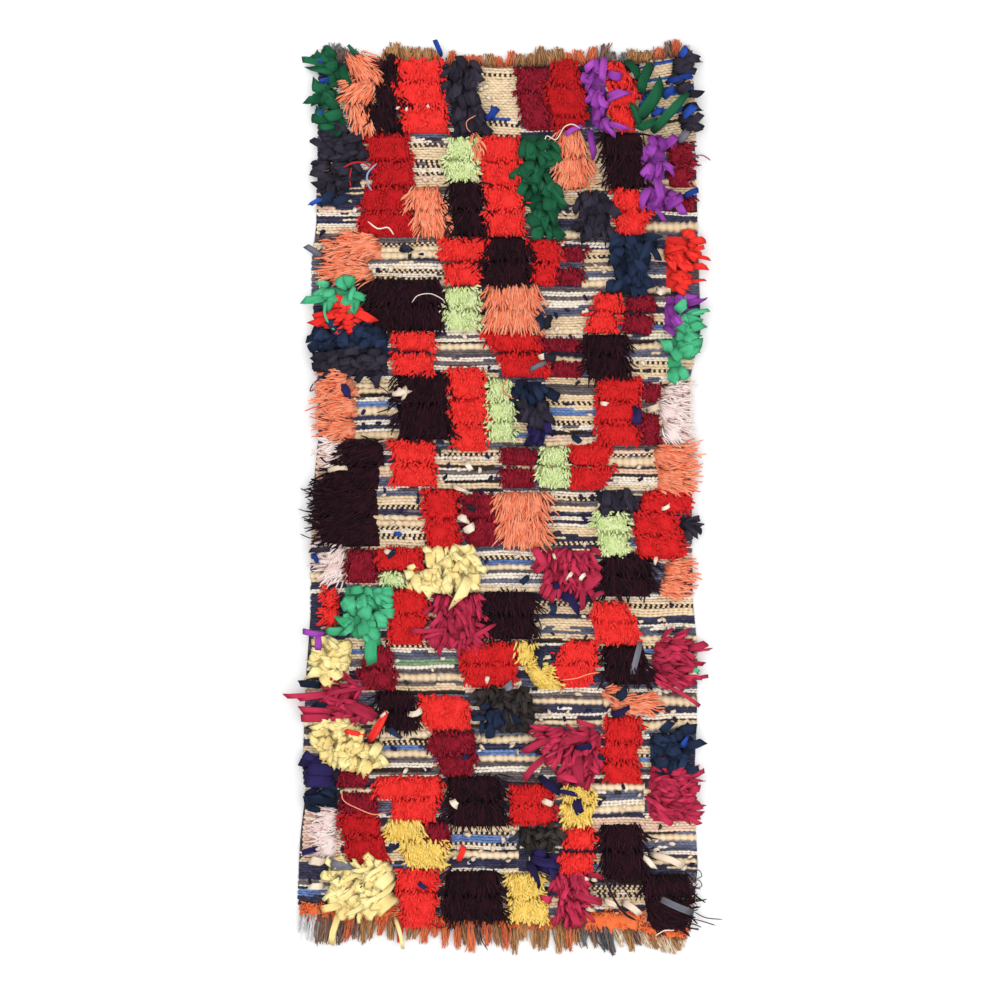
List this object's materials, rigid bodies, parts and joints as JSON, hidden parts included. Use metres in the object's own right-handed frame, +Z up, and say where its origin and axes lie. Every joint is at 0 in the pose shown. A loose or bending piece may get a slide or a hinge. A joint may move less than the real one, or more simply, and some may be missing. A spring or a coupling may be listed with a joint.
{
  "type": "moroccan rug",
  "caption": "Flat rag rug: a striped woven ground under patches of cut yarn and fabric-strip pile, with uneven locks along its sides and warp tufts at both ends.",
  "frame": {"origin": "on the floor under the middle of the rug's box", "axes": "+Y along the rug towards its short-tufted end, +X across it, +Z up out of the pile"},
  "size_m": [1.095, 2.3, 0.0333],
  "materials": {
    "pile_and_ground": "matte wool yarn and cotton strips in many colours",
    "bottom_tufts": "matte twisted warp yarn",
    "top_tufts": "matte twisted warp yarn"
  },
  "bodies": {
    "root": {"rug_body": "pile_and_ground", "bottom_fringe": "bottom_tufts", "top_fringe": "top_tufts"}
  },
  "joints": []
}
